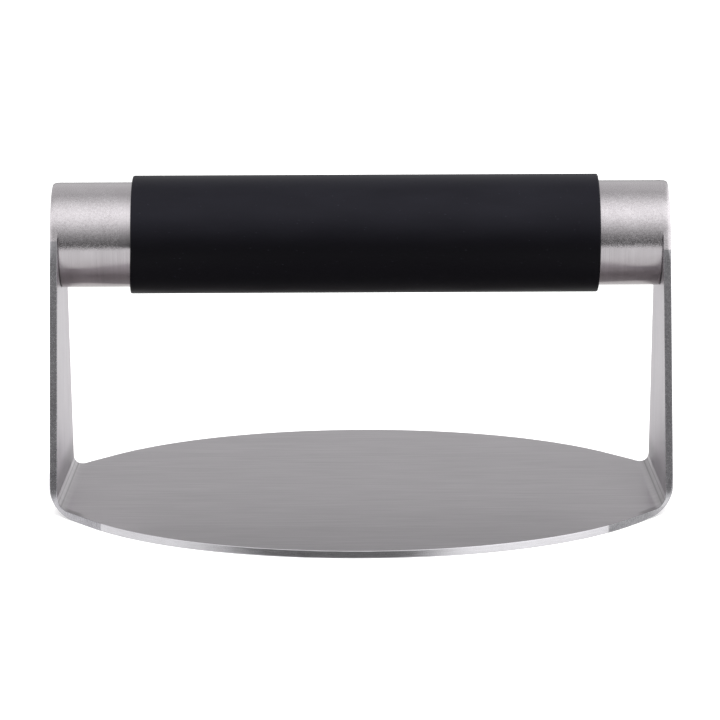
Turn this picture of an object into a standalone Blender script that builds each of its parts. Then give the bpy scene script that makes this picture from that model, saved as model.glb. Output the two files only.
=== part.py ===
"""Patty press: a round steel plate whose two arms are bent up to carry a sleeved tube handle.

Frame: metres, +Z up, +X along the handle. The origin is the centre of the flat pressing face,
which lies in the plane Z = 0. One sheet of steel makes the plate and both arms: it is laid out
flat as a blank, given its thickness, and folded up at two bend lines. The plate's rim is round,
with a short straight shoulder before each corner where it meets an arm.
"""

import math

import bmesh
import bpy
from mathutils import Matrix, Vector

MM = 0.001

# Driving dimensions
PLATE_RADIUS = 75.2 * MM          # round pressing plate
SHOULDER_ANGLE = math.radians(33.5)  # from the X axis: below it the rim runs on straight
SHEET_THICKNESS = 1.8 * MM        # plate and arms
ARM_SPAN = 148.4 * MM             # over the outer faces of the two arms
ARM_BASE_HALF_WIDTH = 25.6 * MM   # half width of an arm at its foot
ARM_BASE_HEIGHT = 5.0 * MM        # height at which that width is measured
BEND_OUTER_RADIUS = 6.2 * MM      # outside of the bend, ground round
BEND_INNER_RADIUS = 2.8 * MM      # inside of the bend
CORNER_FILLET = 6.5 * MM          # inner corner between the shoulder and an arm's edge
HANDLE_HEIGHT = 63.9 * MM         # pressing face to the handle's axis
TUBE_RADIUS = 12.7 * MM           # one-inch tube
TUBE_WALL = 1.5 * MM
SLEEVE_RADIUS = 14.3 * MM
SLEEVE_LENGTH = 113.1 * MM
SLEEVE_OFFSET = 0.85 * MM         # the sleeve sits a little towards +X
SLEEVE_EDGE_RADIUS = 0.5 * MM
WELD_WIDTH = 1.6 * MM             # along the tube
WELD_DEPTH = 0.9 * MM             # into the tube's wall
WELD_ARC = math.radians(172.0)    # each weld runs this far over the top of the tube
CLEARANCE = 0.3 * MM              # between pieces that touch

# Facets of the curved parts
RIM_STEP = math.radians(3.0)
FILLET_SEGMENTS = 6
TIP_SEGMENTS = 16
BEND_SEGMENTS = 8
TURN_SEGMENTS = 72

# Values that follow from the driving dimensions
ARM_OUTER_X = ARM_SPAN / 2
ARM_INNER_X = ARM_OUTER_X - SHEET_THICKNESS
BEND_START = ARM_OUTER_X - BEND_OUTER_RADIUS
BEND_LENGTH = (BEND_OUTER_RADIUS - SHEET_THICKNESS / 2) * math.pi / 2
BEND_END = BEND_START + BEND_LENGTH
TUBE_END_X = ARM_INNER_X - CLEARANCE
TIP_CENTRE = BEND_END + HANDLE_HEIGHT - BEND_OUTER_RADIUS


def clear_scene():
    """Remove every object that is already there."""
    for item in list(bpy.data.objects):
        bpy.data.objects.remove(item, do_unlink=True)


def make_material(name, colour, roughness, metallic):
    """Return a plain Principled material."""
    material = bpy.data.materials.new(name)
    material.use_nodes = True
    shader = material.node_tree.nodes["Principled BSDF"]
    shader.inputs["Base Color"].default_value = (*colour, 1.0)
    shader.inputs["Roughness"].default_value = roughness
    shader.inputs["Metallic"].default_value = metallic
    return material


def make_object(name, bm, material, parent, location=(0.0, 0.0, 0.0), turn=0.0):
    """Turn a bmesh into a named object, placed by its location and a turn about Z."""
    bmesh.ops.recalc_face_normals(bm, faces=bm.faces)
    mesh = bpy.data.meshes.new(name)
    bm.to_mesh(mesh)
    bm.free()
    mesh.shade_smooth()
    mesh.set_sharp_from_angle(angle=math.radians(30.0))
    mesh.materials.append(material)
    item = bpy.data.objects.new(name, mesh)
    item.location = location
    item.rotation_euler = (0.0, 0.0, turn)
    item.parent = parent
    bpy.context.collection.objects.link(item)
    return item


def arc_points(centre, radius, start, end, segments):
    """Points on an arc in the blank's plane, both ends included."""
    points = []
    for step in range(segments + 1):
        angle = start + (end - start) * step / segments
        points.append(centre + radius * Vector((math.cos(angle), math.sin(angle))))
    return points


def direction_angle(vector):
    return math.atan2(vector.y, vector.x)


def arm_edge():
    """The straight edge of an arm in the blank: its base point, its direction and its end.

    The edge starts at the arm's base width and ends tangent to the round tip.
    """
    base = Vector((BEND_END + ARM_BASE_HEIGHT - BEND_OUTER_RADIUS, ARM_BASE_HALF_WIDTH))
    to_tip = Vector((TIP_CENTRE, 0.0)) - base
    length = math.sqrt(to_tip.length_squared - TUBE_RADIUS ** 2)
    heading = direction_angle(to_tip) + math.asin(TUBE_RADIUS / to_tip.length)
    direction = Vector((math.cos(heading), math.sin(heading)))
    return base, direction, base + direction * length


def corner_fillet():
    """Centre and both end points of the fillet between the plate's shoulder and an arm's edge."""
    shoulder_outward = Vector((math.cos(SHOULDER_ANGLE), math.sin(SHOULDER_ANGLE)))
    along_shoulder = Vector((math.sin(SHOULDER_ANGLE), -math.cos(SHOULDER_ANGLE)))
    base, direction, _ = arm_edge()
    edge_outward = Vector((-direction.y, direction.x))
    start = shoulder_outward * (PLATE_RADIUS + CORNER_FILLET)
    missing = CORNER_FILLET - (start - base).dot(edge_outward)
    centre = start + along_shoulder * (missing / along_shoulder.dot(edge_outward))
    on_shoulder = centre - shoulder_outward * CORNER_FILLET
    on_edge = centre - edge_outward * CORNER_FILLET
    return centre, on_shoulder, on_edge


def quarter_outline():
    """A quarter of the blank's outline, from the middle of the rim to the tip of the arm."""
    centre, on_shoulder, on_edge = corner_fillet()
    _, _, edge_end = arm_edge()
    tip = Vector((TIP_CENTRE, 0.0))
    rim_segments = math.ceil((math.pi / 2 - SHOULDER_ANGLE) / RIM_STEP)
    middle = Vector((0.0, 0.0))
    rim = arc_points(middle, PLATE_RADIUS, math.pi / 2, SHOULDER_ANGLE, rim_segments)
    fillet_start = direction_angle(on_shoulder - centre) % math.tau
    fillet_end = direction_angle(on_edge - centre) % math.tau
    fillet = arc_points(centre, CORNER_FILLET, fillet_start, fillet_end, FILLET_SEGMENTS)
    tip_start = direction_angle(edge_end - tip)
    round_tip = arc_points(tip, TUBE_RADIUS, tip_start, 0.0, TIP_SEGMENTS // 2)
    return rim + fillet + round_tip


def blank_outline():
    """The whole outline of the flat blank, mirrored from its quarter."""
    quarter = quarter_outline()
    half = quarter + [Vector((p.x, -p.y)) for p in reversed(quarter[:-1])]
    return half + [Vector((-p.x, p.y)) for p in reversed(half[1:-1])]


def inner_bend_point(fraction):
    """A point on the inside of the bend, which has a short flat on each side of its arc."""
    lead = BEND_OUTER_RADIUS - SHEET_THICKNESS - BEND_INNER_RADIUS
    arc = BEND_INNER_RADIUS * math.pi / 2
    distance = fraction * (2 * lead + arc)
    if distance <= lead:
        return Vector((BEND_START + distance, SHEET_THICKNESS))
    if distance >= lead + arc:
        return Vector((ARM_INNER_X, BEND_OUTER_RADIUS - (2 * lead + arc - distance)))
    angle = (distance - lead) / BEND_INNER_RADIUS
    across = BEND_START + lead + BEND_INNER_RADIUS * math.sin(angle)
    height = SHEET_THICKNESS + BEND_INNER_RADIUS * (1.0 - math.cos(angle))
    return Vector((across, height))


def outer_bend_point(fraction):
    """A point on the outside of the bend."""
    angle = fraction * math.pi / 2
    across = BEND_START + BEND_OUTER_RADIUS * math.sin(angle)
    return Vector((across, BEND_OUTER_RADIUS * (1.0 - math.cos(angle))))


def fold(point):
    """Carry a point of the flat, thickened blank to its place in the folded sheet."""
    distance = abs(point.x)
    side = math.copysign(1.0, point.x)
    if distance <= BEND_START:
        return point.copy()
    if distance >= BEND_END:
        height = BEND_OUTER_RADIUS + distance - BEND_END
        return Vector((side * (ARM_OUTER_X - point.z), point.y, height))
    fraction = (distance - BEND_START) / BEND_LENGTH
    outer = outer_bend_point(fraction)
    section = outer.lerp(inner_bend_point(fraction), point.z / SHEET_THICKNESS)
    return Vector((side * section.x, point.y, section.y))


def build_press_frame(material, parent):
    """Plate and arms in one sheet: cut the blank, thicken it and fold up both arms."""
    bm = bmesh.new()
    bm.faces.new([bm.verts.new((p.x, p.y, 0.0)) for p in blank_outline()])
    for side in (-1.0, 1.0):
        for step in range(BEND_SEGMENTS + 1):
            line = side * (BEND_START + BEND_LENGTH * step / BEND_SEGMENTS)
            everything = bm.verts[:] + bm.edges[:] + bm.faces[:]
            bmesh.ops.bisect_plane(
                bm, geom=everything, dist=1e-7, plane_co=(line, 0.0, 0.0), plane_no=(1.0, 0.0, 0.0)
            )
    extruded = bmesh.ops.extrude_face_region(bm, geom=bm.faces[:], use_keep_orig=True)
    top = [part for part in extruded["geom"] if isinstance(part, bmesh.types.BMVert)]
    bmesh.ops.translate(bm, verts=top, vec=(0.0, 0.0, SHEET_THICKNESS))
    for vert in bm.verts:
        vert.co = fold(vert.co)
    return make_object("press_frame", bm, material, parent)


def revolve(profile, arc=math.tau):
    """Revolve a closed profile of (x, radius) points about X, centred over the top."""
    bm = bmesh.new()
    full_turn = arc == math.tau
    start = Matrix.Rotation(-arc / 2, 3, "X")
    ring = [bm.verts.new(start @ Vector((x, 0.0, radius))) for x, radius in profile]
    edges = [bm.edges.new((a, b)) for a, b in zip(ring, ring[1:] + ring[:1])]
    steps = round(TURN_SEGMENTS * arc / math.tau)
    swept = bmesh.ops.spin(
        bm, geom=ring + edges, axis=(1.0, 0.0, 0.0), cent=(0.0, 0.0, 0.0),
        angle=arc, steps=steps, use_merge=full_turn
    )
    if not full_turn:
        last = [part for part in swept["geom_last"] if isinstance(part, bmesh.types.BMEdge)]
        bmesh.ops.contextual_create(bm, geom=edges)
        bmesh.ops.contextual_create(bm, geom=last)
    return bm


def weld_profile(grow):
    """Section of the weld between the left arm's face and the tube, grown by a clearance."""
    arm_side = -ARM_INNER_X + CLEARANCE - grow
    tube_side = -ARM_INNER_X + CLEARANCE + WELD_WIDTH + grow
    root = TUBE_RADIUS - WELD_DEPTH - grow
    crown = TUBE_RADIUS + grow
    return [(arm_side, root), (arm_side, crown), (tube_side, crown), (tube_side, root + WELD_DEPTH / 2)]


def build_weld_cutter(name, parent, turn):
    """The groove that a weld fills in the end of the tube."""
    extra = 2 * CLEARANCE / TUBE_RADIUS
    bm = revolve(weld_profile(CLEARANCE), WELD_ARC + extra)
    cutter = make_object(name, bm, None, parent, (0.0, 0.0, HANDLE_HEIGHT), turn)
    cutter.hide_render = True
    cutter.display_type = "WIRE"
    return cutter


def build_handle_tube(material, parent):
    """The tube between the arms, grooved at the top of each end for its weld."""
    bore = TUBE_RADIUS - TUBE_WALL
    profile = [
        (-TUBE_END_X, bore), (-TUBE_END_X, TUBE_RADIUS), (TUBE_END_X, TUBE_RADIUS), (TUBE_END_X, bore)
    ]
    tube = make_object("handle_tube", revolve(profile), material, parent, (0.0, 0.0, HANDLE_HEIGHT))
    for name, turn in (("left_groove", 0.0), ("right_groove", math.pi)):
        cut = tube.modifiers.new(name, "BOOLEAN")
        cut.operation = "DIFFERENCE"
        cut.solver = "EXACT"
        cut.object = build_weld_cutter(name, parent, turn)
    return tube


def build_weld(name, material, parent, turn):
    """The weld that joins one end of the tube to its arm, ground flush with the tube."""
    bm = revolve(weld_profile(0.0), WELD_ARC)
    return make_object(name, bm, material, parent, (0.0, 0.0, HANDLE_HEIGHT), turn)


def sleeve_profile():
    """Section of the sleeve: its outer end edges are rounded."""
    half = SLEEVE_LENGTH / 2
    bore = TUBE_RADIUS + CLEARANCE
    shoulder = SLEEVE_RADIUS - SLEEVE_EDGE_RADIUS
    profile = [(-half, bore)]
    for side, start, end in ((-1.0, math.pi, math.pi / 2), (1.0, math.pi / 2, 0.0)):
        centre = Vector((side * (half - SLEEVE_EDGE_RADIUS), shoulder))
        for point in arc_points(centre, SLEEVE_EDGE_RADIUS, start, end, 3):
            profile.append((point.x, point.y))
    profile.append((half, bore))
    return profile


def build_grip_sleeve(material, parent):
    """The soft sleeve pushed over the middle of the tube."""
    place = (SLEEVE_OFFSET, 0.0, HANDLE_HEIGHT)
    return make_object("grip_sleeve", revolve(sleeve_profile()), material, parent, place)


def build_patty_press():
    """Make every piece and hang it on one empty."""
    clear_scene()
    root = bpy.data.objects.new("patty_press", None)
    bpy.context.collection.objects.link(root)
    plate_steel = make_material("plate_steel", (0.36, 0.35, 0.36), 0.38, 1.0)
    tube_steel = make_material("tube_steel", (0.58, 0.56, 0.57), 0.28, 1.0)
    weld_steel = make_material("weld_steel", (0.52, 0.50, 0.51), 0.34, 1.0)
    black_silicone = make_material("black_silicone", (0.012, 0.012, 0.015), 0.55, 0.0)
    build_press_frame(plate_steel, root)
    build_handle_tube(tube_steel, root)
    build_weld("left_weld", weld_steel, root, 0.0)
    build_weld("right_weld", weld_steel, root, math.pi)
    build_grip_sleeve(black_silicone, root)


build_patty_press()
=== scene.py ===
import math

import bmesh
import bpy
from mathutils import Matrix, Vector, noise


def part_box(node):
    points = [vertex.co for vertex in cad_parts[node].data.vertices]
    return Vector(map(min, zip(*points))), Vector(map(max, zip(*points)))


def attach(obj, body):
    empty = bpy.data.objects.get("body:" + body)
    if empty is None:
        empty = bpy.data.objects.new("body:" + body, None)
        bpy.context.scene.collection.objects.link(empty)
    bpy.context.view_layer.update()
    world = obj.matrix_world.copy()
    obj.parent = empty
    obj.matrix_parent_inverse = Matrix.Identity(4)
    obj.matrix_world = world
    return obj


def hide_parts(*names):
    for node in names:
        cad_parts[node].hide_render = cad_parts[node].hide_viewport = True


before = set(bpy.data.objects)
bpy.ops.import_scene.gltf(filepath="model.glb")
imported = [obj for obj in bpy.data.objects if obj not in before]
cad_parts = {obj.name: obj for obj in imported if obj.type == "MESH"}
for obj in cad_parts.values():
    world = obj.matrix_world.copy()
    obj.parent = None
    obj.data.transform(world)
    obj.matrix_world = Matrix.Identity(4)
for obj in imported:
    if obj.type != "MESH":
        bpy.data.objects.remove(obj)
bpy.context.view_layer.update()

# Looks of the patty press: a brushed steel plate whose two arms are folded up to carry a tube
# with a black silicone sleeve. Every piece is in metres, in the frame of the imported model:
# +Z up, +X along the handle, the origin at the centre of the pressing face.

MM = 0.001

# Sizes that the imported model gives
FRAME_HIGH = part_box("press_frame")[1]
TUBE_LOW, TUBE_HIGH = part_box("handle_tube")
SLEEVE_LOW, SLEEVE_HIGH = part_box("grip_sleeve")
PLATE_RADIUS = FRAME_HIGH.y
ARM_OUTER_X = FRAME_HIGH.x
TUBE_RADIUS = TUBE_HIGH.y
TUBE_END_X = TUBE_HIGH.x
HANDLE_HEIGHT = (TUBE_LOW.z + TUBE_HIGH.z) / 2
SLEEVE_RADIUS = SLEEVE_HIGH.y

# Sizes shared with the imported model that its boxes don't show
CLEARANCE = 0.3 * MM
SHOULDER_ANGLE = math.radians(33.5)
ARM_BASE_HALF_WIDTH = 25.6 * MM
ARM_BASE_HEIGHT = 5.0 * MM
BEND_OUTER_RADIUS = 6.2 * MM
BEND_INNER_RADIUS = 2.8 * MM
CORNER_FILLET = 6.5 * MM
TUBE_WALL = 1.5 * MM
WELD_ARC = math.radians(172.0)

# Values that follow from them
SHEET_THICKNESS = ARM_OUTER_X - TUBE_END_X - CLEARANCE
ARM_INNER_X = ARM_OUTER_X - SHEET_THICKNESS
BEND_START = ARM_OUTER_X - BEND_OUTER_RADIUS
BEND_LENGTH = (BEND_OUTER_RADIUS - SHEET_THICKNESS / 2) * math.pi / 2
BEND_END = BEND_START + BEND_LENGTH
TIP_CENTRE = BEND_END + HANDLE_HEIGHT - BEND_OUTER_RADIUS

# Finishing of the cut edges
INNER_DEBURR = 0.2 * MM           # edge towards the inside of the press
OUTER_DEBURR = 0.22 * MM          # edge towards the outside and the pressing face
WANDER = 0.3                      # share by which the hand-held deburring varies
WANDER_LENGTH = 4.0 * MM          # and the length along the edge over which it does
TIP_INNER_EDGE = 0.015 * MM       # nearly sharp where the weld meets it
TIP_CROWN_DEPTH = 0.5 * MM        # the tip's edge is crowned by grinding the weld flush:
TIP_CROWN_WIDTH = 1.4 * MM        # this deep at the outer face, starting this far from it
TIP_BLEND = 6.0 * MM              # length over which the edge changes
LEFT_CROWN_DEPTH = 0.45 * MM      # the outside of each corner is ground off this far back
RIGHT_CROWN_DEPTH = 1.2 * MM      # from the edge: less at the left, more at the right
CORNER_CROWN_WIDTH = 0.6 * MM     # and this deep into the sheet's thickness
CORNER_BLEND = 5.0 * MM           # length over which the ground corner fades out

# Ends of the tube and their welds
TUBE_CHAMFER = 0.08 * MM
TUBE_END_GAP = 0.01 * MM          # the tube's reduced end stands this far from the arm
TUBE_END_BAND = 10.0 * MM         # length of the mesh ring next to each end
SEAM_GAP = 0.24 * MM              # open seam between tube and arm, where there is no weld
SEAM_SEAT = 1.2 * MM              # depth of the seam, down to the tube's reduced end
WELD_LAP = 0.12 * MM              # the ground weld laps this far over the seam's sides
WELD_SKIN = 0.004 * MM            # and stands this far proud of the tube
WELD_EDGE = 0.01 * MM             # its border on the tube is sunk this far
WELD_LEAD = (0.3 * MM, 0.1 * MM)  # the border's start and end, measured back from the lap
WELD_ROOT_LAP = 0.05 * MM         # its root reaches this far under the arm's edge
WELD_FADE = math.radians(8.0)     # each weld runs out over this angle
WELD_END_SHARE = 0.2              # and keeps this share of its depth at its ends
SWELL_HEIGHT = 0.09 * MM          # high spot that the grinding left on top of the right weld
SWELL_SPREAD = math.radians(22.0)
SWELL_LEAD = (6.0, 5.0)           # how far the border moves back per unit of swelling
SWELL_AT_LAP = 0.6                # share of the swelling that is reached at the lap

# Sleeve
SLEEVE_EDGE_RADIUS = 0.4 * MM
SLEEVE_EDGE_SEGMENTS = 6
SLEEVE_BORE_GAP = 0.02 * MM
SLEEVE_UNEVEN = 0.8 * MM          # its left end is cut this much shorter, except underneath
UNEVEN_POWER = 1.5                # how quickly the cut runs out to its longest point

# Fineness of the curved parts
RIM_STEP = math.radians(1.0)
SHOULDER_SEGMENTS = 12
FILLET_SEGMENTS = 16
EDGE_SEGMENTS = 24
TIP_SEGMENTS = 48
ROUND_SEGMENTS = 4
BEND_SEGMENTS = 18
TURN_STEP = math.radians(2.5)
CUT_TOLERANCE = 1e-7
SHARP_ANGLE = math.radians(40.0)
FLAT_WEIGHT = 80                  # how strongly large faces keep their own normal

# Material slots of the sheet
BROAD_FACE = 0
CUT_EDGE = 1
GROUND_TIP = 2


def arc_points(centre, radius, start, end, segments):
    """Points on an arc in the blank's plane, both ends included."""
    points = []
    for step in range(segments + 1):
        angle = start + (end - start) * step / segments
        points.append(centre + radius * Vector((math.cos(angle), math.sin(angle))))
    return points


def direction_angle(vector):
    return math.atan2(vector.y, vector.x)


def smooth_step(value, low, high):
    """0 below low, 1 above high and an even S between them."""
    share = min(max((value - low) / (high - low), 0.0), 1.0)
    return share * share * (3.0 - 2.0 * share)


def arm_edge():
    """The straight edge of an arm in the blank: its base point, its direction and its end."""
    base = Vector((BEND_END + ARM_BASE_HEIGHT - BEND_OUTER_RADIUS, ARM_BASE_HALF_WIDTH))
    to_tip = Vector((TIP_CENTRE, 0.0)) - base
    length = math.sqrt(to_tip.length_squared - TUBE_RADIUS ** 2)
    heading = direction_angle(to_tip) + math.asin(TUBE_RADIUS / to_tip.length)
    direction = Vector((math.cos(heading), math.sin(heading)))
    return base, direction, base + direction * length


def corner_fillet():
    """Centre and both end points of the fillet between the plate's shoulder and an arm's edge."""
    shoulder_outward = Vector((math.cos(SHOULDER_ANGLE), math.sin(SHOULDER_ANGLE)))
    along_shoulder = Vector((math.sin(SHOULDER_ANGLE), -math.cos(SHOULDER_ANGLE)))
    base, direction, _ = arm_edge()
    edge_outward = Vector((-direction.y, direction.x))
    start = shoulder_outward * (PLATE_RADIUS + CORNER_FILLET)
    missing = CORNER_FILLET - (start - base).dot(edge_outward)
    centre = start + along_shoulder * (missing / along_shoulder.dot(edge_outward))
    on_shoulder = centre - shoulder_outward * CORNER_FILLET
    on_edge = centre - edge_outward * CORNER_FILLET
    return centre, on_shoulder, on_edge


def quarter_outline():
    """A quarter of the blank's outline, from the middle of the rim to the tip of the arm."""
    centre, on_shoulder, on_edge = corner_fillet()
    edge_end = arm_edge()[2]
    tip = Vector((TIP_CENTRE, 0.0))
    rim_segments = math.ceil((math.pi / 2 - SHOULDER_ANGLE) / RIM_STEP)
    middle = Vector((0.0, 0.0))
    rim = arc_points(middle, PLATE_RADIUS, math.pi / 2, SHOULDER_ANGLE, rim_segments)
    shoulder = [
        rim[-1].lerp(on_shoulder, step / SHOULDER_SEGMENTS) for step in range(1, SHOULDER_SEGMENTS)
    ]
    fillet_start = direction_angle(on_shoulder - centre) % math.tau
    fillet_end = direction_angle(on_edge - centre) % math.tau
    fillet = arc_points(centre, CORNER_FILLET, fillet_start, fillet_end, FILLET_SEGMENTS)
    straight = [on_edge.lerp(edge_end, step / EDGE_SEGMENTS) for step in range(1, EDGE_SEGMENTS)]
    tip_start = direction_angle(edge_end - tip)
    round_tip = arc_points(tip, TUBE_RADIUS, tip_start, 0.0, TIP_SEGMENTS // 2)
    return rim + shoulder + fillet + straight + round_tip


def blank_outline():
    """The whole outline of the flat blank, clockwise, mirrored from its quarter."""
    quarter = quarter_outline()
    half = quarter + [Vector((p.x, -p.y)) for p in reversed(quarter[:-1])]
    return half + [Vector((-p.x, p.y)) for p in reversed(half[1:-1])]


def inward_directions(outline):
    """The unit vector that points into the blank at each point of its clockwise outline."""
    inward = []
    for before, here, after in zip(outline[-1:] + outline[:-1], outline, outline[1:] + outline[:1]):
        heading = (here - before).normalized() + (after - here).normalized()
        inward.append(Vector((heading.y, -heading.x)).normalized())
    return inward


def inner_bend_point(fraction):
    """A point on the inside of the bend, which has a short flat on each side of its arc."""
    lead = BEND_OUTER_RADIUS - SHEET_THICKNESS - BEND_INNER_RADIUS
    arc = BEND_INNER_RADIUS * math.pi / 2
    distance = fraction * (2 * lead + arc)
    if distance <= lead:
        return Vector((BEND_START + distance, SHEET_THICKNESS))
    if distance >= lead + arc:
        return Vector((ARM_INNER_X, BEND_OUTER_RADIUS - (2 * lead + arc - distance)))
    angle = (distance - lead) / BEND_INNER_RADIUS
    across = BEND_START + lead + BEND_INNER_RADIUS * math.sin(angle)
    height = SHEET_THICKNESS + BEND_INNER_RADIUS * (1.0 - math.cos(angle))
    return Vector((across, height))


def outer_bend_point(fraction):
    """A point on the outside of the bend."""
    angle = fraction * math.pi / 2
    across = BEND_START + BEND_OUTER_RADIUS * math.sin(angle)
    return Vector((across, BEND_OUTER_RADIUS * (1.0 - math.cos(angle))))


def fold(point):
    """Carry a point of the flat, thickened blank to its place in the folded sheet."""
    distance = abs(point.x)
    side = math.copysign(1.0, point.x)
    if distance <= BEND_START:
        return point.copy()
    if distance >= BEND_END:
        height = BEND_OUTER_RADIUS + distance - BEND_END
        return Vector((side * (ARM_OUTER_X - point.z), point.y, height))
    fraction = (distance - BEND_START) / BEND_LENGTH
    outer = outer_bend_point(fraction)
    section = outer.lerp(inner_bend_point(fraction), point.z / SHEET_THICKNESS)
    return Vector((side * section.x, point.y, section.y))


def edge_section(point):
    """Section of the cut edge as (inset, height) points, from the outer face to the inner face."""
    wander = 1.0 + WANDER * noise.noise(Vector((point.x, point.y, 0.0)) / WANDER_LENGTH)
    at_tip = smooth_step(abs(point.x), TIP_CENTRE - TIP_BLEND, TIP_CENTRE)
    to_corner = abs(abs(point.x) - (BEND_START + BEND_END) / 2) - BEND_LENGTH / 4
    at_corner = 1.0 - smooth_step(to_corner, 0.0, CORNER_BLEND)
    depth = wander * OUTER_DEBURR + (TIP_CROWN_DEPTH - OUTER_DEBURR) * at_tip
    crown_depth = RIGHT_CROWN_DEPTH if point.x > 0.0 else LEFT_CROWN_DEPTH
    depth += (crown_depth - OUTER_DEBURR) * at_corner
    width = wander * OUTER_DEBURR + (TIP_CROWN_WIDTH - OUTER_DEBURR) * at_tip
    width += (CORNER_CROWN_WIDTH - OUTER_DEBURR) * at_corner
    inner = wander * INNER_DEBURR * (1.0 - at_tip) + TIP_INNER_EDGE * at_tip
    section = []
    for step in range(2 * ROUND_SEGMENTS + 1):
        angle = math.pi / 4 * step / ROUND_SEGMENTS
        section.append((depth * (1.0 - math.sin(angle)), width * (1.0 - math.cos(angle))))
    for step in range(ROUND_SEGMENTS + 1):
        angle = math.pi / 2 * step / ROUND_SEGMENTS
        height = SHEET_THICKNESS - inner * (1.0 - math.sin(angle))
        section.append((inner * (1.0 - math.cos(angle)), height))
    return section


def shade(item, materials):
    """Give a piece its materials, smooth shading and normals that keep its flats flat."""
    item.data.shade_smooth()
    item.data.set_sharp_from_angle(angle=SHARP_ANGLE)
    for material in materials:
        item.data.materials.append(material)
    even = item.modifiers.new("even_normals", "WEIGHTED_NORMAL")
    even.mode = "FACE_AREA_WITH_ANGLE"
    even.weight = FLAT_WEIGHT
    even.keep_sharp = True


def make_piece(name, bm, materials, node):
    """Turn a bmesh into a piece that rides on the press and stands for one node."""
    bmesh.ops.recalc_face_normals(bm, faces=bm.faces)
    mesh = bpy.data.meshes.new(name)
    bm.to_mesh(mesh)
    bm.free()
    item = bpy.data.objects.new(name, mesh)
    bpy.context.scene.collection.objects.link(item)
    shade(item, materials)
    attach(item, "root")
    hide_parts(node)
    return item


def build_sheet(materials):
    """Plate and arms: the blank with its deburred edge, cut at the fold lines and folded."""
    bm = bmesh.new()
    outline = blank_outline()
    columns = []
    for point, inward in zip(outline, inward_directions(outline)):
        column = []
        for inset, height in edge_section(point):
            place = point + inward * inset
            column.append(bm.verts.new((place.x, place.y, height)))
        columns.append(column)
    for column, following in zip(columns, columns[1:] + columns[:1]):
        finish = GROUND_TIP if abs(column[0].co.x) > TIP_CENTRE else CUT_EDGE
        for row in range(len(column) - 1):
            corners = (column[row], following[row], following[row + 1], column[row + 1])
            bm.faces.new(corners).material_index = finish
    bm.faces.new([column[-1] for column in columns]).material_index = BROAD_FACE
    bm.faces.new([column[0] for column in reversed(columns)]).material_index = BROAD_FACE
    for side in (-1.0, 1.0):
        for step in range(BEND_SEGMENTS + 1):
            line = side * (BEND_START + BEND_LENGTH * step / BEND_SEGMENTS)
            bmesh.ops.bisect_plane(
                bm, geom=bm.verts[:] + bm.edges[:] + bm.faces[:], dist=CUT_TOLERANCE,
                plane_co=(line, 0.0, 0.0), plane_no=(1.0, 0.0, 0.0)
            )
    blank = bm.verts.layers.float_vector.new("blank")
    for vert in bm.verts:
        vert[blank] = vert.co
        vert.co = fold(vert.co)
    return make_piece("plate_and_arms", bm, materials, "press_frame")


def turn_angles(start, end):
    """Angles about the tube's axis from start to end, 0 being the top."""
    steps = math.ceil((end - start) / TURN_STEP)
    return [start + (end - start) * step / steps for step in range(steps + 1)]


def about_axis(x, angle, radius):
    """A point at a distance from the handle's axis, at an angle from the top."""
    return Vector((x, -radius * math.sin(angle), HANDLE_HEIGHT + radius * math.cos(angle)))


def skin_rings(bm, rings, closed):
    """Join rings of vertices with quads; closed also joins the last ring to the first."""
    following = rings[1:] + rings[:1] if closed else rings[1:]
    for ring, after in zip(rings, following):
        for index in range(len(ring)):
            nxt = (index + 1) % len(ring)
            bm.faces.new((ring[index], after[index], after[nxt], ring[nxt]))


def build_tube(materials):
    """The handle's tube, whose ends stand a fine seam away from the arms."""
    end = ARM_INNER_X - SEAM_GAP
    reduced_end = ARM_INNER_X - TUBE_END_GAP
    seat = TUBE_RADIUS - SEAM_SEAT
    outer = [
        (reduced_end, TUBE_RADIUS - TUBE_WALL), (reduced_end, seat), (end, seat),
        (end, TUBE_RADIUS - TUBE_CHAMFER), (end - TUBE_CHAMFER, TUBE_RADIUS),
        (end - TUBE_END_BAND, TUBE_RADIUS), (end / 2, TUBE_RADIUS)
    ]
    profile = [(-x, radius) for x, radius in outer] + list(reversed(outer))
    bm = bmesh.new()
    rings = []
    for angle in turn_angles(-math.pi, math.pi)[:-1]:
        rings.append([bm.verts.new(about_axis(x, angle, radius)) for x, radius in profile])
    skin_rings(bm, rings, closed=True)
    return make_piece("steel_tube", bm, materials, "handle_tube")


def weld_section(swelling, fade):
    """Section of a weld as (distance from the middle, height over the tube) points."""
    lap = ARM_INNER_X - SEAM_GAP - WELD_LAP
    proud = WELD_SKIN * fade
    root = -SEAM_SEAT * (WELD_END_SHARE + (1.0 - WELD_END_SHARE) * fade)
    return [
        (lap - WELD_LEAD[0] - SWELL_LEAD[0] * swelling, -WELD_EDGE),
        (lap - WELD_LEAD[1] - SWELL_LEAD[1] * swelling, proud),
        (lap, proud + swelling * SWELL_AT_LAP),
        (ARM_INNER_X, proud + swelling),
        (ARM_INNER_X + WELD_LAP, proud + swelling),
        (ARM_INNER_X + 2 * WELD_LAP, -WELD_SKIN),
        (ARM_INNER_X + WELD_ROOT_LAP, root),
        (ARM_INNER_X - SEAM_GAP, root)
    ]


def build_weld(side, swell, name, node, materials):
    """The weld at one end of the tube: it fills the seam, ground flush with tube and arm."""
    end = WELD_ARC / 2
    bm = bmesh.new()
    rings = []
    for angle in turn_angles(-end, end):
        swelling = swell * math.exp(-(angle / SWELL_SPREAD) ** 2)
        section = weld_section(swelling, smooth_step(end - abs(angle), 0.0, WELD_FADE))
        rings.append([
            bm.verts.new(about_axis(side * x, angle, TUBE_RADIUS + height)) for x, height in section
        ])
    skin_rings(bm, rings, closed=False)
    bm.faces.new(rings[0])
    bm.faces.new(list(reversed(rings[-1])))
    return make_piece(name, bm, materials, node)


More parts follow.
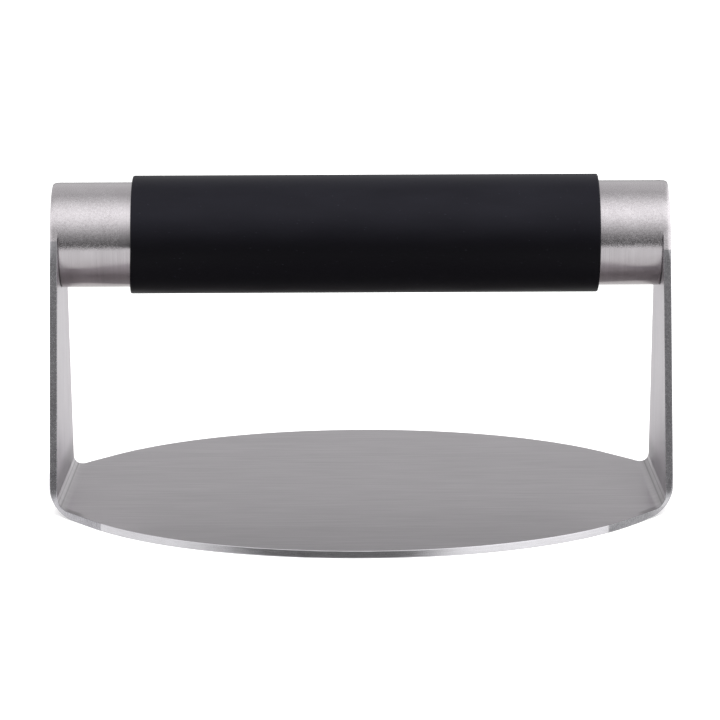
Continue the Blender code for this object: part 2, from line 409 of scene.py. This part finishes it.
def build_sleeve(materials):
    """The silicone sleeve, with rounded ends; its left end is cut a little longer underneath."""
    bore = TUBE_RADIUS + SLEEVE_BORE_GAP
    edge = SLEEVE_EDGE_RADIUS
    rounding = [(0.0, SLEEVE_RADIUS - bore)]
    for step in range(SLEEVE_EDGE_SEGMENTS + 1):
        angle = math.pi / 2 * step / SLEEVE_EDGE_SEGMENTS
        rounding.append((edge * (1.0 - math.cos(angle)), edge * (1.0 - math.sin(angle))))
    bm = bmesh.new()
    rings = []
    for angle in turn_angles(-math.pi, math.pi)[:-1]:
        underneath = max(0.0, -math.cos(angle)) ** UNEVEN_POWER
        left = SLEEVE_LOW.x + SLEEVE_UNEVEN * (1.0 - underneath)
        profile = [(left + along, SLEEVE_RADIUS - inset) for along, inset in rounding]
        profile += [(SLEEVE_HIGH.x - along, SLEEVE_RADIUS - inset) for along, inset in rounding[::-1]]
        rings.append([bm.verts.new(about_axis(x, angle, radius)) for x, radius in profile])
    skin_rings(bm, rings, closed=True)
    return make_piece("silicone_sleeve", bm, materials, "grip_sleeve")


# Nearly all values of a noise texture lie between these
NOISE_LOW = 0.3
NOISE_HIGH = 0.7


class Graph:
    """A short way to write down the nodes of one material or world."""

    def __init__(self, tree):
        self.tree = tree

    def node(self, kind, **settings):
        item = self.tree.nodes.new("ShaderNode" + kind)
        for name, value in settings.items():
            setattr(item, name, value)
        return item

    def feed(self, socket, value):
        if isinstance(value, bpy.types.NodeSocket):
            self.tree.links.new(value, socket)
        else:
            socket.default_value = value

    def math(self, operation, *values):
        item = self.node("Math", operation=operation)
        for socket, value in zip(item.inputs, values):
            self.feed(socket, value)
        return item.outputs[0]

    def stretch(self, vector, scale):
        item = self.node("VectorMath", operation="MULTIPLY")
        self.feed(item.inputs[0], vector)
        self.feed(item.inputs[1], scale)
        return item.outputs[0]

    def parts(self, vector):
        item = self.node("SeparateXYZ")
        self.feed(item.inputs[0], vector)
        return item.outputs

    def grain(self, vector, size, detail=2.0, distortion=0.0):
        """Noise whose blobs measure about size (in metres) along each axis of vector."""
        item = self.node("TexNoise")
        self.feed(item.inputs["Vector"], self.stretch(vector, [1.0 / side for side in size]))
        self.feed(item.inputs["Scale"], 1.0)
        self.feed(item.inputs["Detail"], detail)
        self.feed(item.inputs["Distortion"], distortion)
        return item.outputs[0]

    def remap(self, value, low, high, to_low, to_high, smooth=False):
        item = self.node("MapRange")
        if smooth:
            item.interpolation_type = "SMOOTHSTEP"
        for socket, number in zip(item.inputs, (value, low, high, to_low, to_high)):
            self.feed(socket, number)
        return item.outputs[0]

    def spread(self, grain, low, high):
        """A noise texture's values, spread from low to high."""
        return self.remap(grain, NOISE_LOW, NOISE_HIGH, low, high)

    def ease(self, value, low, high, to_low, to_high):
        return self.remap(value, low, high, to_low, to_high, smooth=True)

    def total(self, *values):
        result = values[0]
        for value in values[1:]:
            result = self.math("ADD", result, value)
        return result

    def colour(self, share, dark, light):
        item = self.node("Mix", data_type="RGBA")
        self.feed(item.inputs[0], share)
        self.feed(item.inputs[6], (*dark, 1.0))
        self.feed(item.inputs[7], (*light, 1.0))
        return item.outputs[2]

    def mixed(self, share, first, second):
        """Two colours that are themselves made by nodes, mixed."""
        item = self.node("Mix", data_type="RGBA")
        for socket, value in zip((item.inputs[0], item.inputs[6], item.inputs[7]), (share, first, second)):
            self.feed(socket, value)
        return item.outputs[2]

    def between(self, share, first, second):
        """Two numbers, mixed."""
        item = self.node("Mix", data_type="FLOAT")
        for socket, value in zip((item.inputs[0], item.inputs[2], item.inputs[3]), (share, first, second)):
            self.feed(socket, value)
        return item.outputs[0]

    def bump(self, height, distance, strength=1.0):
        item = self.node("Bump")
        self.feed(item.inputs["Strength"], strength)
        self.feed(item.inputs["Distance"], distance)
        self.feed(item.inputs["Height"], height)
        return item.outputs[0]

    def direction(self, vector):
        item = self.node("CombineXYZ")
        for socket, number in zip(item.inputs, vector):
            self.feed(socket, number)
        return item.outputs[0]

    def tinted(self, colour, tint):
        """A colour multiplied by another."""
        item = self.node("Mix", data_type="RGBA", blend_type="MULTIPLY")
        for socket, value in zip((item.inputs[0], item.inputs[6], item.inputs[7]), (1.0, colour, tint)):
            self.feed(socket, value)
        return item.outputs[2]


def new_material(name):
    """A material with one Principled shader, its graph and that shader."""
    material = bpy.data.materials.new(name)
    material.use_nodes = True
    shader = material.node_tree.nodes["Principled BSDF"]
    return material, Graph(material.node_tree), shader


# Dark lines along the inside of each bend, and a broad faint painted shade under them:
# place as a share of the bend, half width and strength
BEND_LINES_AND_SHADE = (
    (0.46, 0.26 * MM, 0.45), (0.6, 0.26 * MM, 0.4), (0.74, 0.26 * MM, 0.2), (0.6, 2.4 * MM, 0.22)
)
CREASE_CORE = 0.3                 # share of a crease's half width that has its full strength
# colour of the dark bend lines and of the painted shade and painted reflection on the sheet
LINE_AND_SHADE_TINT = (0.2, 0.195, 0.2, 1.0)

# Painted shade at the foot of each arm: it starts in the bend, is darkest up to just over the bend's
# end, and clears above it. The left arm's foot is painted darker than the right arm's.
FOOT_SHADE_START = BEND_START + 0.74 * BEND_LENGTH
FOOT_SHADE_FULL = BEND_END + 0.5 * MM
FOOT_SHADE_CLEAR = BEND_END + 5.5 * MM
FOOT_SHADE_AT_LEFT = 0.62
FOOT_SHADE_AT_RIGHT = 0.42
SIDE_CHANGE = 20.0 * MM           # left turns into right between this far either side of the middle

# A painted dark reflection lies beside both front corners
CORNER_REFLECTION_PLACE = 68.0 * MM              # distance of its middle from the middle of the press
CORNER_REFLECTION_REACH = (2.4 * MM, 1.2 * MM)   # from the shoulder's edge inwards: start and full strength
CORNER_REFLECTION_LENGTH = (1.2 * MM, 3.4 * MM)  # to each side of its middle: full strength and end
CORNER_REFLECTION_STRENGTH = 0.55


def bend_lines_and_painted_shade(graph, along, across, height):
    """How much darker the inside of the sheet is painted, from 0 to 1: dark lines along each bend,
    painted shade in the bend and at each arm's foot, and a painted dark reflection by each front corner.
    """
    from_middle = graph.math("ABSOLUTE", along)
    dark_lines_and_painted_shade = 0.0
    # each entry is a dark line along the bend; the broad last one is painted shade
    for fraction, reach, strength in BEND_LINES_AND_SHADE:
        offset = graph.math("SUBTRACT", from_middle, BEND_START + fraction * BEND_LENGTH)
        offset = graph.math("ABSOLUTE", offset)
        dark_lines_and_painted_shade = graph.total(dark_lines_and_painted_shade, graph.ease(offset, CREASE_CORE * reach, reach, strength, 0.0))
    strength = graph.remap(along, -SIDE_CHANGE, SIDE_CHANGE, FOOT_SHADE_AT_LEFT, FOOT_SHADE_AT_RIGHT)
    # painted shade at the foot of each arm
    painted_foot_shade = graph.ease(from_middle, FOOT_SHADE_FULL, FOOT_SHADE_CLEAR, strength, 0.0)
    painted_foot_shade = graph.math("MULTIPLY", painted_foot_shade, graph.math("GREATER_THAN", from_middle, FOOT_SHADE_START))
    outward = graph.total(
        graph.math("MULTIPLY", across, -math.sin(SHOULDER_ANGLE)),
        graph.math("MULTIPLY", from_middle, math.cos(SHOULDER_ANGLE))
    )
    start, full = CORNER_REFLECTION_REACH
    # painted dark reflection beside each front corner
    at_shoulder = graph.ease(outward, PLATE_RADIUS - start, PLATE_RADIUS - full, 0.0, CORNER_REFLECTION_STRENGTH)
    off_corner_reflection = graph.math("ABSOLUTE", graph.math("SUBTRACT", from_middle, CORNER_REFLECTION_PLACE))
    painted_corner_reflection = graph.math("MULTIPLY", at_shoulder, graph.ease(off_corner_reflection, *CORNER_REFLECTION_LENGTH, 1.0, 0.0))
    inside = graph.remap(height, 0.4 * SHEET_THICKNESS, 0.6 * SHEET_THICKNESS, 0.0, 1.0)
    return graph.math("MULTIPLY", graph.total(dark_lines_and_painted_shade, painted_foot_shade, painted_corner_reflection), inside)


def brushed_sheet():
    """Broad faces: straight brushing along the blank, which runs on round both bends."""
    material, graph, shader = new_material("brushed_sheet")
    blank = graph.node("Attribute", attribute_name="blank").outputs["Vector"]
    fine = graph.grain(blank, (14.0 * MM, 0.12 * MM, 1.0), detail=3.0)
    streaks = graph.grain(blank, (16.0 * MM, 1.5 * MM, 1.0), detail=3.0, distortion=0.3)
    bands = graph.grain(blank, (120.0 * MM, 7.0 * MM, 1.0))
    cloud = graph.grain(blank, (22.0 * MM, 16.0 * MM, 1.0))
    along, across, height = graph.parts(blank)
    # painted shade: the plate is made darker towards its front edge
    painted_front_shade = graph.ease(across, -PLATE_RADIUS, 0.3 * PLATE_RADIUS, -0.3, 0.05)
    tone = graph.total(
        graph.spread(fine, 0.0, 0.25), graph.spread(streaks, 0.0, 0.5), graph.spread(bands, 0.0, 0.25),
        painted_front_shade
    )
    sheet = graph.colour(tone, (0.485, 0.465, 0.487), (0.625, 0.60, 0.625))
    # the dark lines, painted shade and painted reflection are mixed into the sheet's colour
    dark_lines_and_painted_shade = bend_lines_and_painted_shade(graph, along, across, height)
    graph.feed(shader.inputs["Base Color"], graph.mixed(dark_lines_and_painted_shade, sheet, LINE_AND_SHADE_TINT))
    gloss = graph.total(graph.spread(fine, 0.0, 0.05), graph.spread(cloud, 0.0, 0.04), 0.28)
    graph.feed(shader.inputs["Roughness"], gloss)
    relief = graph.total(fine, graph.math("MULTIPLY", streaks, 0.5))
    graph.feed(shader.inputs["Normal"], graph.bump(relief, 0.004 * MM, 0.6))
    graph.feed(shader.inputs["Tangent"], graph.direction((0.0, 1.0, 0.0)))
    shader.inputs["Metallic"].default_value = 1.0
    shader.inputs["Anisotropic"].default_value = 0.85
    return material


# The cut edge's finishes, by distance from the middle of the press, measured along the blank
SCUFF_START = 59.0 * MM           # from here on, towards the arms, the rim is left scuffed
SCUFF_SHIFT = 1.75 * MM           # it starts this much sooner at the right, later at the left
SCUFF_BLEND = 0.2 * MM            # and changes over this length on each side of its start
SCUFF_FADE = (BEND_START - 1.0 * MM, BEND_START + 3.0 * MM)
SCUFF_IN_BEND = 0.75              # how much of it is left after it has faded
RAW_SPAN = (BEND_END - 3.5 * MM, BEND_END + 1.0 * MM)
TIP_SPAN = (TIP_CENTRE - TIP_BLEND, TIP_CENTRE)


def cut_edge():
    """Cut edge of the sheet: polished round the plate, scuffed along its shoulders and left raw
    and dull along the arms."""
    material, graph, shader = new_material("cut_edge")
    blank = graph.node("Attribute", attribute_name="blank").outputs["Vector"]
    along = graph.parts(blank)[0]
    from_middle = graph.math("ABSOLUTE", along)
    above_bend = graph.ease(from_middle, *RAW_SPAN, 0.0, 1.0)
    below_tip = graph.ease(from_middle, *TIP_SPAN, 1.0, 0.0)
    raw = graph.math("MULTIPLY", above_bend, below_tip)
    shifted = graph.math("ABSOLUTE", graph.math("ADD", along, SCUFF_SHIFT))
    from_rim = graph.ease(shifted, SCUFF_START - SCUFF_BLEND, SCUFF_START + SCUFF_BLEND, 0.0, 1.0)
    to_bend = graph.ease(from_middle, *SCUFF_FADE, 1.0, SCUFF_IN_BEND)
    scuffed = graph.math("MULTIPLY", from_rim, to_bend)
    stripes = graph.grain(blank, (0.16 * MM, 0.16 * MM, 3.0 * MM), detail=2.0)
    mottle = graph.grain(blank, (0.5 * MM, 0.5 * MM, 0.4 * MM), detail=3.0, distortion=0.6)
    patches = graph.grain(blank, (9.0 * MM, 9.0 * MM, 3.0 * MM))
    drawn = graph.grain(blank, (3.0 * MM, 3.0 * MM, 0.35 * MM), detail=2.0)
    coarse = graph.total(
        graph.spread(stripes, 0.0, 0.3), graph.spread(mottle, 0.0, 0.45), graph.spread(patches, 0.0, 0.25)
    )
    even = graph.total(
        graph.spread(drawn, 0.0, 0.5), graph.spread(patches, 0.0, 0.35), graph.spread(stripes, 0.0, 0.15)
    )
    polished = graph.colour(even, (0.56, 0.55, 0.57), (0.68, 0.67, 0.70))
    dull = graph.colour(coarse, (0.15, 0.145, 0.157), (0.365, 0.36, 0.375))
    left_scuffs = graph.colour(coarse, (0.23, 0.226, 0.243), (0.52, 0.51, 0.54))
    right_scuffs = graph.colour(coarse, (0.16, 0.16, 0.17), (0.42, 0.415, 0.43))
    at_right = graph.remap(along, -SIDE_CHANGE, SIDE_CHANGE, 0.0, 1.0)
    rim = graph.mixed(scuffed, polished, graph.mixed(at_right, left_scuffs, right_scuffs))
    graph.feed(shader.inputs["Base Color"], graph.mixed(raw, rim, dull))
    rough = graph.math("MAXIMUM", raw, graph.math("MULTIPLY", scuffed, 0.3))
    gloss = graph.between(rough, graph.spread(drawn, 0.2, 0.24), graph.spread(mottle, 0.18, 0.3))
    graph.feed(shader.inputs["Roughness"], gloss)
    relief = graph.math("MULTIPLY", graph.total(stripes, mottle), rough)
    graph.feed(shader.inputs["Normal"], graph.bump(relief, 0.012 * MM, 0.5))
    shader.inputs["Metallic"].default_value = 1.0
    return material


# The tube is ground from the first height up, and completely above the second. Along the tube
# the grinding grows from the first distance from the middle to the second.
GRIND_HEIGHTS = (HANDLE_HEIGHT - 2.8 * MM, HANDLE_HEIGHT - 1.8 * MM)
GRIND_PLACES = (54.5 * MM, 59.5 * MM)
GRIND_BEFORE = 0.2                # its strength before the first distance
WORN_HEIGHTS = (HANDLE_HEIGHT + 0.7 * TUBE_RADIUS, HANDLE_HEIGHT + 0.95 * TUBE_RADIUS)
WORN_SHARE = 0.3                  # the scratch's strength at the top, above the second height
BOTTOM_TINT_HEIGHTS = (HANDLE_HEIGHT - 0.8 * TUBE_RADIUS, HANDLE_HEIGHT - 0.2 * TUBE_RADIUS)
BOTTOM_TINT = (0.68, 0.65, 0.635)   # tint that makes the tube darker towards the bottom, below the first height
SCRATCH_SPAN = 0.18               # half of the range of the scratch's values


def tube_finish(name):
    """Tube, welds and arm tips: turned lines round the tube, and a random fine scratch where
    the welds were ground flush, over the top of each end."""
    material, graph, shader = new_material(name)
    place = graph.node("TexCoord").outputs["Object"]
    x, _, height = graph.parts(place)
    over_top = graph.ease(height, *GRIND_HEIGHTS, 0.0, 1.0)
    near_arm = graph.ease(graph.math("ABSOLUTE", x), *GRIND_PLACES, GRIND_BEFORE, 1.0)
    ground = graph.math("MULTIPLY", over_top, near_arm)
    worn = graph.ease(height, *WORN_HEIGHTS, 1.0, WORN_SHARE)
    lines = graph.grain(place, (0.12 * MM, 30.0 * MM, 30.0 * MM), detail=3.0)
    belts = graph.grain(place, (1.6 * MM, 40.0 * MM, 40.0 * MM), detail=2.0)
    speckle = graph.grain(place, (0.38 * MM, 0.38 * MM, 0.38 * MM), detail=2.0, distortion=1.2)
    cloud = graph.grain(place, (5.0 * MM, 5.0 * MM, 5.0 * MM))
    uneven = graph.math("MULTIPLY", graph.math("SUBTRACT", speckle, 0.5), worn)
    turned = graph.total(graph.spread(lines, 0.0, 0.45), graph.spread(belts, 0.0, 0.2))
    orbital = graph.remap(uneven, -SCRATCH_SPAN, SCRATCH_SPAN, -0.1, 0.85)
    tone = graph.total(graph.between(ground, turned, orbital), graph.spread(cloud, 0.0, 0.25))
    steel = graph.colour(tone, (0.515, 0.486, 0.505), (0.70, 0.668, 0.693))
    # the steel's colour is tinted darker towards the bottom
    upper = graph.ease(height, *BOTTOM_TINT_HEIGHTS, 0.0, 1.0)
    bottom_tint = graph.colour(upper, BOTTOM_TINT, (1.0, 1.0, 1.0))
    graph.feed(shader.inputs["Base Color"], graph.tinted(steel, bottom_tint))
    gloss = graph.total(0.18, graph.math("MULTIPLY", ground, graph.spread(speckle, 0.02, 0.12)))
    graph.feed(shader.inputs["Roughness"], gloss)
    scratch = graph.math("MULTIPLY", ground, uneven)
    ridges = graph.math("MULTIPLY", lines, graph.remap(ground, 0.0, 1.0, 0.2, 0.05))
    graph.feed(shader.inputs["Normal"], graph.bump(graph.total(scratch, ridges), 0.018 * MM))
    graph.feed(shader.inputs["Tangent"], graph.direction((1.0, 0.0, 0.0)))
    shader.inputs["Metallic"].default_value = 1.0
    shader.inputs["Anisotropic"].default_value = 0.8
    return material


# Painted light makes the sleeve's upper side lighter: it starts at the first height and is full at the
# second
TOP_LIGHT_HEIGHTS = (HANDLE_HEIGHT - 0.2 * SLEEVE_RADIUS, HANDLE_HEIGHT + 0.5 * SLEEVE_RADIUS)
LINT_RANGE = (0.82, 0.86)         # only the rare highest values of a noise texture are lint


def silicone():
    """Matt black silicone with a faint skin, a few rubs, painted light on its upper side and specks of
    lint.
    """
    material, graph, shader = new_material("black_silicone")
    place = graph.node("TexCoord").outputs["Object"]
    skin = graph.grain(place, (0.35 * MM, 0.35 * MM, 0.35 * MM), detail=2.0)
    rubs = graph.grain(place, (16.0 * MM, 5.0 * MM, 5.0 * MM), detail=3.0)
    lint = graph.grain(place, (0.7 * MM, 0.25 * MM, 0.25 * MM), detail=0.0)
    specks = graph.remap(lint, *LINT_RANGE, 0.0, 0.3)
    height = graph.parts(place)[2]
    # painted light: the sleeve's upper side is made lighter, unevenly through the rubs
    painted_top_light = graph.ease(height, *TOP_LIGHT_HEIGHTS, 0.0, 0.16)
    uneven_painted_top_light = graph.math("MULTIPLY", painted_top_light, graph.spread(rubs, 0.85, 1.15))
    black = graph.colour(graph.total(specks, uneven_painted_top_light), (0.0017, 0.0014, 0.0030), (0.05, 0.05, 0.068))
    graph.feed(shader.inputs["Base Color"], black)
    graph.feed(shader.inputs["Roughness"], graph.spread(rubs, 0.4, 0.48))
    graph.feed(shader.inputs["Normal"], graph.bump(skin, 0.006 * MM, 0.5))
    shader.inputs["Specular IOR Level"].default_value = 0.1
    return material


def floor_material():
    """Plain matt white paper."""
    material, _, shader = new_material("white_paper")
    shader.inputs["Base Color"].default_value = (0.93, 0.93, 0.93, 1.0)
    shader.inputs["Roughness"].default_value = 0.9
    shader.inputs["Specular IOR Level"].default_value = 0.0
    shader.inputs["Emission Color"].default_value = (1.0, 1.0, 1.0, 1.0)
    shader.inputs["Emission Strength"].default_value = 0.3
    return material


# Brightness of the studio at each elevation, seen from the press: degrees from the horizon in
# front of it, over the top, to the horizon behind it. Negative ones lie below the horizon: the
# white table, and beyond its front edge the dark room.
STUDIO_PEAK = 1.4
STUDIO_PROFILE = (
    (-180.0, 1.0), (-165.0, 1.0), (-150.0, 0.85), (-40.0, 0.85), (-23.5, 0.82), (-22.0, 0.09),
    (-15.0, 0.11), (-7.0, 0.19), (3.0, 0.31), (12.0, 0.47), (20.0, 0.68), (29.0, 0.88),
    (38.0, 1.12), (47.0, 1.25), (57.0, 1.30), (66.0, 1.17), (77.0, 1.0), (88.0, 0.75),
    (105.0, 0.55), (113.0, 0.60), (150.0, 0.69), (160.0, 0.60), (168.0, 0.50), (174.0, 0.38),
    (180.0, 0.28)
)

# Softboxes at both sides; a direction's parts are shares of 1, x to the right and y to the back
LEFT_PANEL = 1.05
RIGHT_PANEL = 1.3
PANEL_SPAN = 0.3                  # the left one's brightness turns into the right one's within this
BACK_PANEL = 1.12                 # brightness of both towards the back
BACK_SPAN = (-0.1, 0.3)           # y over which it takes over
PANEL_RISE = 0.35                 # how much brighter the softboxes are higher up
RISE_SPAN = (0.0, 0.6)            # z over which they brighten
PANEL_CENTRE = -0.165             # x halfway between the softboxes
PANEL_EDGE = (0.4, 0.82)          # distance from there at which they start and are full


def build_world():
    """Soft studio light by direction: bright above the front, softboxes left and right."""
    world = bpy.data.worlds.new("studio")
    world.use_nodes = True
    bpy.context.scene.world = world
    graph = Graph(world.node_tree)
    x, y, z = graph.parts(graph.node("TexCoord").outputs["Generated"])
    elevation = graph.math("ARCTAN2", z, graph.math("MULTIPLY", y, -1.0))
    share = graph.remap(elevation, -math.pi, math.pi, 0.0, 1.0)
    ramp = graph.node("ValToRGB")
    graph.feed(ramp.inputs[0], share)
    elements = ramp.color_ramp.elements
    while len(elements) < len(STUDIO_PROFILE):
        elements.new(0.5)
    for element, (degrees, level) in zip(elements, STUDIO_PROFILE):
        element.position = (degrees + 180.0) / 360.0
        element.color = (*[level / STUDIO_PEAK] * 3, 1.0)
    profile = graph.math("MULTIPLY", ramp.outputs[0], STUDIO_PEAK)
    front_panel = graph.remap(x, -PANEL_SPAN, PANEL_SPAN, LEFT_PANEL, RIGHT_PANEL)
    behind = graph.ease(y, *BACK_SPAN, 0.0, 1.0)
    rise = graph.ease(z, *RISE_SPAN, 1.0, 1.0 + PANEL_RISE)
    panel = graph.math("MULTIPLY", graph.between(behind, front_panel, BACK_PANEL), rise)
    sideways = graph.math("ABSOLUTE", graph.math("SUBTRACT", x, PANEL_CENTRE))
    at_side = graph.ease(sideways, *PANEL_EDGE, 0.0, 1.0)
    level = graph.total(
        graph.math("MULTIPLY", profile, graph.math("SUBTRACT", 1.0, at_side)),
        graph.math("MULTIPLY", panel, at_side)
    )
    background = world.node_tree.nodes["Background"]
    background.inputs["Color"].default_value = (1.0, 1.0, 1.0, 1.0)
    graph.feed(background.inputs["Strength"], level)


FLOOR_HALF_WIDTH = 5.0
LAMP_DIAMETER = 2.4
LAMP_POWER = 30.0
LAMP_PLACE = (0.0, -0.4, 2.2)
LAMP_TILT = math.radians(10.3)


def build_floor_and_light():
    """White floor, and a large soft light overhead that brightens it."""
    bm = bmesh.new()
    bmesh.ops.create_grid(bm, x_segments=4, y_segments=4, size=FLOOR_HALF_WIDTH)
    mesh = bpy.data.meshes.new("floor")
    bm.to_mesh(mesh)
    bm.free()
    floor = bpy.data.objects.new("floor", mesh)
    mesh.materials.append(floor_material())
    bpy.context.scene.collection.objects.link(floor)
    floor.visible_glossy = False
    light = bpy.data.lights.new("overhead", "AREA")
    light.shape = "DISK"
    light.size = LAMP_DIAMETER
    light.energy = LAMP_POWER
    lamp = bpy.data.objects.new("overhead", light)
    lamp.location = LAMP_PLACE
    lamp.rotation_euler = (-LAMP_TILT, 0.0, 0.0)
    lamp.visible_glossy = False
    bpy.context.scene.collection.objects.link(lamp)


def build_camera():
    """A long lens a little above the handle, looking along +Y."""
    distance = 0.869813
    elevation = 0.162493
    roll = -0.004269
    target = Vector((-0.209 * MM, 0.0, 32.864 * MM))
    back = Vector((0.0, -math.cos(elevation), math.sin(elevation)))
    camera = bpy.data.cameras.new("camera")
    camera.lens = 178.45
    camera.sensor_width = 36.0
    camera.clip_start = 0.05
    camera.clip_end = 50.0
    eye = bpy.data.objects.new("camera", camera)
    bpy.context.scene.collection.objects.link(eye)
    tilt = Matrix.Rotation(math.pi / 2 - elevation, 4, "X") @ Matrix.Rotation(roll, 4, "Z")
    eye.matrix_world = Matrix.Translation(target + back * distance) @ tilt
    bpy.context.scene.camera = eye


build_camera()
build_world()
build_floor_and_light()
tube_steel = tube_finish("tube_steel")
build_sheet([brushed_sheet(), cut_edge(), tube_steel])
build_tube([tube_steel])
build_weld(-1.0, 0.0, "weld_left", "left_weld", [tube_steel])
build_weld(1.0, SWELL_HEIGHT, "weld_right", "right_weld", [tube_steel])
build_sleeve([silicone()])
bpy.context.scene.view_settings.view_transform = "Standard"
